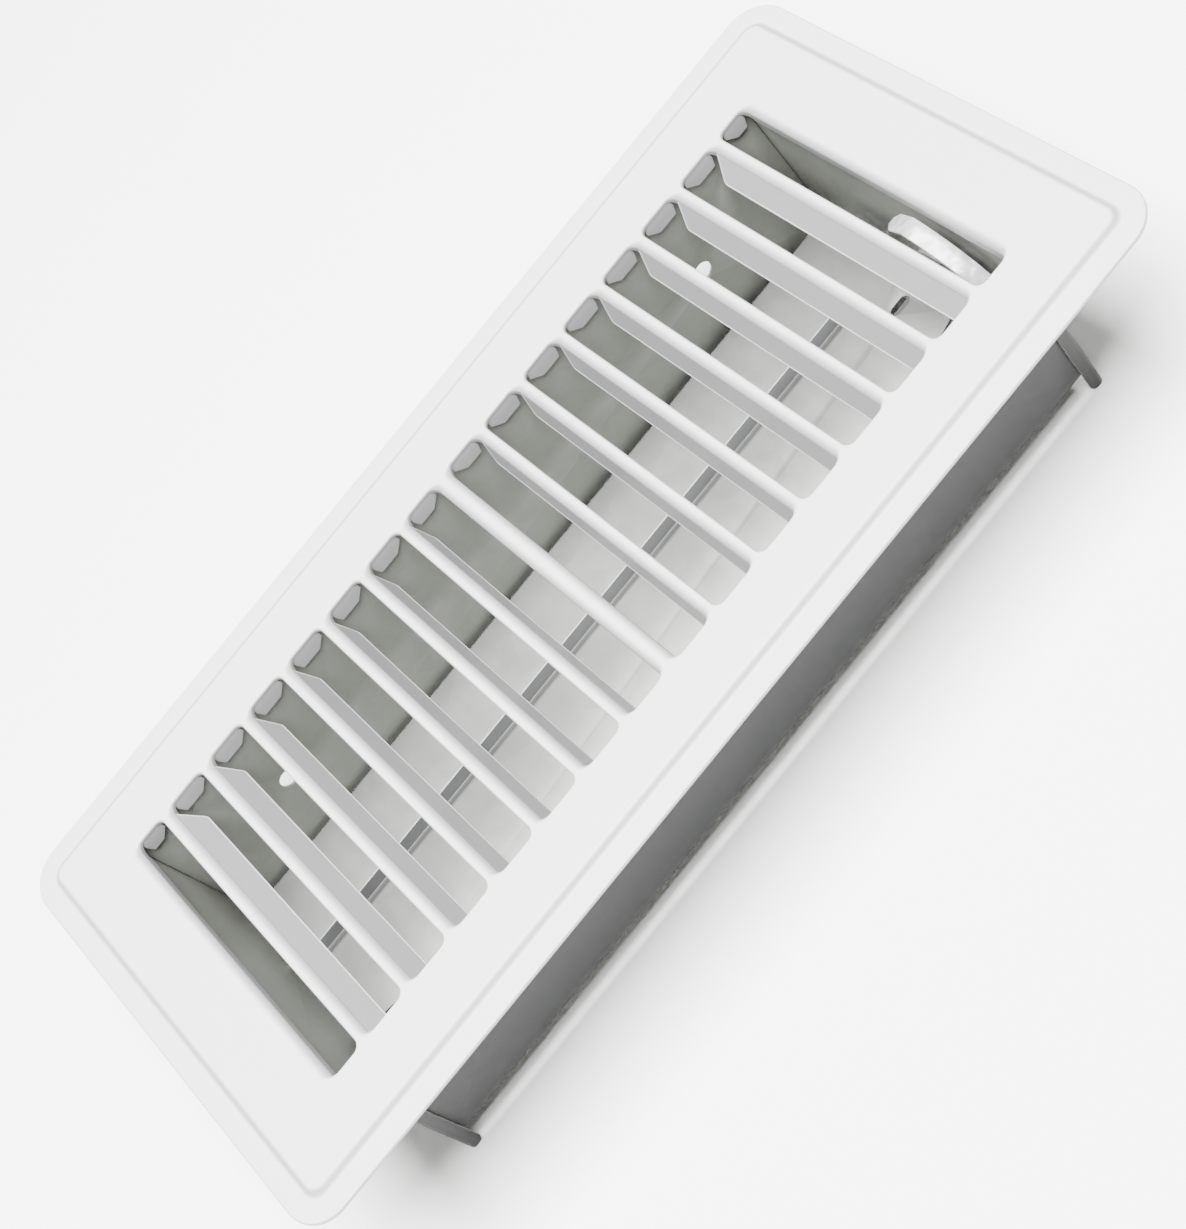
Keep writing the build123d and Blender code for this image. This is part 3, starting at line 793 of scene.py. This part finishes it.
def dulled_copy(node_name, body, material, edge_width, segments=2, reshape=None):
    """A copy of a CAD node that stands for it, with merged points and dull edges."""
    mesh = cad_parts[node_name].data.copy()
    shape = bmesh.new()
    shape.from_mesh(mesh)
    bmesh.ops.remove_doubles(shape, verts=shape.verts, dist=merge_distance)
    bmesh.ops.dissolve_limit(shape, angle_limit=flat_angle, verts=shape.verts, edges=shape.edges)
    if reshape:
        reshape(shape)
    shape.to_mesh(mesh)
    shape.free()
    mesh.materials.clear()
    mesh.materials.append(material)
    made = bpy.data.objects.new(node_name + "_sheet", mesh)
    bpy.context.scene.collection.objects.link(made)
    soften(made, edge_width, segments)
    settle(made, fold_angle)
    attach(made, body)
    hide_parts(node_name)
    return made


dulled_copy("lever", "lever", lever_enamel, lever_edge, segments=4)

# %% [markdown]
# ## Walls of the box
#
# The box is four walls of thin galvanised sheet, lapped at the corners. The two side walls reach a little
# further into the corners than in CAD, so that only a thin seam shows there. The outside of the box is in
# shade, and that shade is painted into its zinc, and into the cut edges of the end walls that face right.
# Those faces could be picked by hand, but each face of a mesh has a normal, which says where it looks, so
# comparing it with those ways finds them by a rule.

# %% Walls of the box
sheet_edge = 0.12 * mm
corner_reach = 0.6 * mm
least_facing = 0.5
right, far = Vector((1, 0, 0)), Vector((0, 1, 0))
outward_ways = {
    "side_wall_left": -right, "side_wall_right": right, "end_wall_plain": -far, "end_wall_lever": far,
}


def reach_into_corners(shape):
    """Move both ends of a side wall out into the corners of the box."""
    end_y = max(vert.co.y for vert in shape.verts)
    for vert in shape.verts:
        if abs(vert.co.y) > end_y - near:
            vert.co.y += corner_reach if vert.co.y > 0 else -corner_reach


def mark_painted_shade(made, shade_share):
    """Keep how much shade is painted on each face of a piece, from 0 to 1, as the given function says."""
    shares = [shade_share(face) for face in made.data.polygons]
    made.data.attributes.new("painted_shade", "FLOAT", "FACE").data.foreach_set("value", shares)


for wall, outward_way in outward_ways.items():
    is_side = wall.startswith("side")
    reshape = reach_into_corners if is_side else None
    # Outward faces, and on the end walls the faces that look right, get painted shade.
    shaded_ways = [outward_way] if is_side else [outward_way, right]
    wall_piece = dulled_copy(wall, "frame", box_zinc, sheet_edge, reshape=reshape)
    mark_painted_shade(wall_piece, lambda face: float(any(face.normal.dot(way) > least_facing for way in shaded_ways)))

# %% [markdown]
# ## Damper leaves
#
# The damper is two leaves of thin galvanised sheet that turn on pins, each stiffened by a pressed groove.
# The groove lies a little nearer to the left wall than in the CAD model and runs on further at the plain
# end. It could be built anew, but moving the points that it has keeps its section. The left leaf lies on
# the right one, and between the ears its edge reaches on a little, so two cuts there let that stretch move
# alone.

# %% Groove and lap of a leaf
groove_shift = -4.4 * mm
groove_longer = 6 * mm
groove_flank = 2.5 * mm
lap_half_length = 105 * mm
lap_reach = 2 * mm


def move_groove(shape):
    """Move the pressed groove of a leaf across it, and make it longer at its plain end."""
    lowest = min(vert.co.z for vert in shape.verts)
    bottom_x = [vert.co.x for vert in shape.verts if vert.co.z < lowest + near]
    bottom_y = [vert.co.y for vert in shape.verts if vert.co.z < lowest + near]
    low_x, high_x = min(bottom_x) - groove_flank, max(bottom_x) + groove_flank
    low_y, high_y = min(bottom_y) - groove_flank, max(bottom_y) + groove_flank
    plain_end = min(bottom_y) + groove_flank
    for vert in shape.verts:
        if low_x < vert.co.x < high_x and low_y < vert.co.y < high_y:
            vert.co.x += groove_shift
            if vert.co.y < plain_end:
                vert.co.y -= groove_longer


def reshape_left_leaf(shape):
    """Move the groove of the left leaf, and the stretch of its far edge that lies between two cuts."""
    move_groove(shape)
    for side in (-1, 1):
        everything = shape.verts[:] + shape.edges[:] + shape.faces[:]
        bmesh.ops.bisect_plane(
            shape, geom=everything, plane_co=(0, side * lap_half_length, 0), plane_no=(0, side, 0))
    edge_x = max(vert.co.x for vert in shape.verts)
    for vert in shape.verts:
        if vert.co.x > edge_x - near and abs(vert.co.y) < lap_half_length + near:
            vert.co.x += lap_reach


print("grooves move by mm:", groove_shift / mm, "and the lap reaches on by mm:", lap_reach / mm)

# %% [markdown]
# Shade is painted into the grooves: most on the flank that faces right, less on the bottom, and none on the
# flank that faces left. The right leaf, which lies under the left one, gets a little painted shade too.

# %% Leaves and tie bar
leaf_edge = 0.2 * mm
least_upward = 0.1
flank_slope = 0.3
right_flank_shade = 1.0
left_flank_shade = 0.0
groove_shade = 0.72
# Each leaf has its change of shape and the painted shade of its flat sheet.
leaves = {"leaf_left": (reshape_left_leaf, 0.0), "leaf_right": (move_groove, 0.35)}


def leaf_painted_shade(face, sheet_top, sheet_shade):
    """How much shade is painted on one face of a leaf: its flat sheet as given, and its groove by the way
    the face looks.
    """
    if face.normal.z < least_upward:
        return 0.0
    if face.center.z > sheet_top - near:
        return sheet_shade
    if face.normal.x > flank_slope:
        return right_flank_shade
    if face.normal.x < -flank_slope:
        return left_flank_shade
    return groove_shade


for leaf, (reshape, sheet_shade) in leaves.items():
    leaf_piece = dulled_copy(leaf, leaf, leaf_zinc, leaf_edge, reshape=reshape)
    sheet_top = max(leaf_piece.data.polygons, key=lambda face: face.area * face.normal.z).center.z
    mark_painted_shade(leaf_piece, lambda face: leaf_painted_shade(face, sheet_top, sheet_shade))
dulled_copy("tie_bar", "tie_bar", tie_zinc, sheet_edge)

# %% [markdown]
# ## Pins
#
# The pins, the rivet and the spacer are small turned pieces, and little more than the heads of some shows,
# on the end walls. A bevel would be lost on them, so they keep their CAD mesh and only get their finish.

# %% Pins keep their CAD mesh
for name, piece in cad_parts.items():
    if "pin" in name or name in ("lever_rivet", "lever_spacer"):
        piece.data.materials.clear()
        piece.data.materials.append(pin_zinc)

# %% [markdown]
# ## Camera
#
# The picture was taken from beside the register and above it, with the camera rolled so that the register
# lies across the frame from corner to corner. The camera stands where straight edges of the real picture
# say it stood. A camera looks along its own -Z, so a helper turns that way towards the aim, and the roll
# comes last.

# %% Camera
camera_place = Vector((364.5, 0.6, 419.2)) * mm
camera_aim = Vector((20.7, 0.2, 0)) * mm
camera_roll = radians(-50.75)


def stand(place, direction):
    """The matrix of a camera or lamp that stands at a place and looks in a direction."""
    return Matrix.Translation(place) @ direction.to_track_quat("-Z", "Y").to_matrix().to_4x4()


camera_data = bpy.data.cameras.new("photo_camera")
camera_data.sensor_fit = "HORIZONTAL"
camera_data.sensor_width = 36
camera_data.lens = 71.5
camera_data.shift_x = -0.0105
camera_data.shift_y = -0.0011
camera = bpy.data.objects.new("photo_camera", camera_data)
camera.matrix_world = stand(camera_place, camera_aim - camera_place) @ Matrix.Rotation(camera_roll, 4, "Z")
bpy.context.scene.collection.objects.link(camera)
bpy.context.scene.camera = camera
print("camera distance in mm:", round(camera_place.length / mm))

# %% [markdown]
# ## Floor and light
#
# The floor is pale and plain, at the lower edge of the box, and it has a very faint mottle. It belongs to
# the stage and not to the register. The light is a bright soft room with one large lamp above.

# %% Floor
floor_half = 3.0
floor_z = cad_box[0].z
mottle_width = 250 * mm

floor_mesh = bpy.data.meshes.new("studio_floor")
floor_corners = [(x * floor_half, y * floor_half, floor_z) for x, y in ((-1, -1), (1, -1), (1, 1), (-1, 1))]
floor_mesh.from_pydata(floor_corners, [], [(0, 1, 2, 3)])
floor = bpy.data.objects.new("studio_floor", floor_mesh)
bpy.context.scene.collection.objects.link(floor)
floor_paint, floor_tree, floor_place = start_material("pale_studio_floor")
mottle = node(floor_tree, "ShaderNodeTexNoise", {"Vector": floor_place, "Scale": 1 / mottle_width})
pale = node(floor_tree, "ShaderNodeValToRGB", {"Fac": mottle.outputs["Fac"]})
set_stops(pale, [(0.0, "#F8F8F7"), (1.0, "#FBFBFA")])
end_material(floor_tree, {"Base Color": pale.outputs["Color"], "Roughness": 0.8})
floor_mesh.materials.append(floor_paint)
print("floor height in mm:", round(floor_z / mm, 2))

# %% Light
room_brightness = 0.2
lamp_place = Vector((0.22, 0, 1.6))
lamp_width = 1.2
lamp_power = 250.0

room = bpy.data.worlds.new("studio_room")
room.use_nodes = True
room_light = room.node_tree.nodes["Background"].inputs
room_light["Color"].default_value = colour("#FFFFFF")
room_light["Strength"].default_value = room_brightness
bpy.context.scene.world = room

lamp_data = bpy.data.lights.new("key_lamp", "AREA")
lamp_data.size = lamp_width
lamp_data.energy = lamp_power
key_lamp = bpy.data.objects.new("key_lamp", lamp_data)
key_lamp.matrix_world = stand(lamp_place, -lamp_place)
bpy.context.scene.collection.objects.link(key_lamp)
print("lamp:", key_lamp.name, "at", round(lamp_place.length, 2), "m from the register")
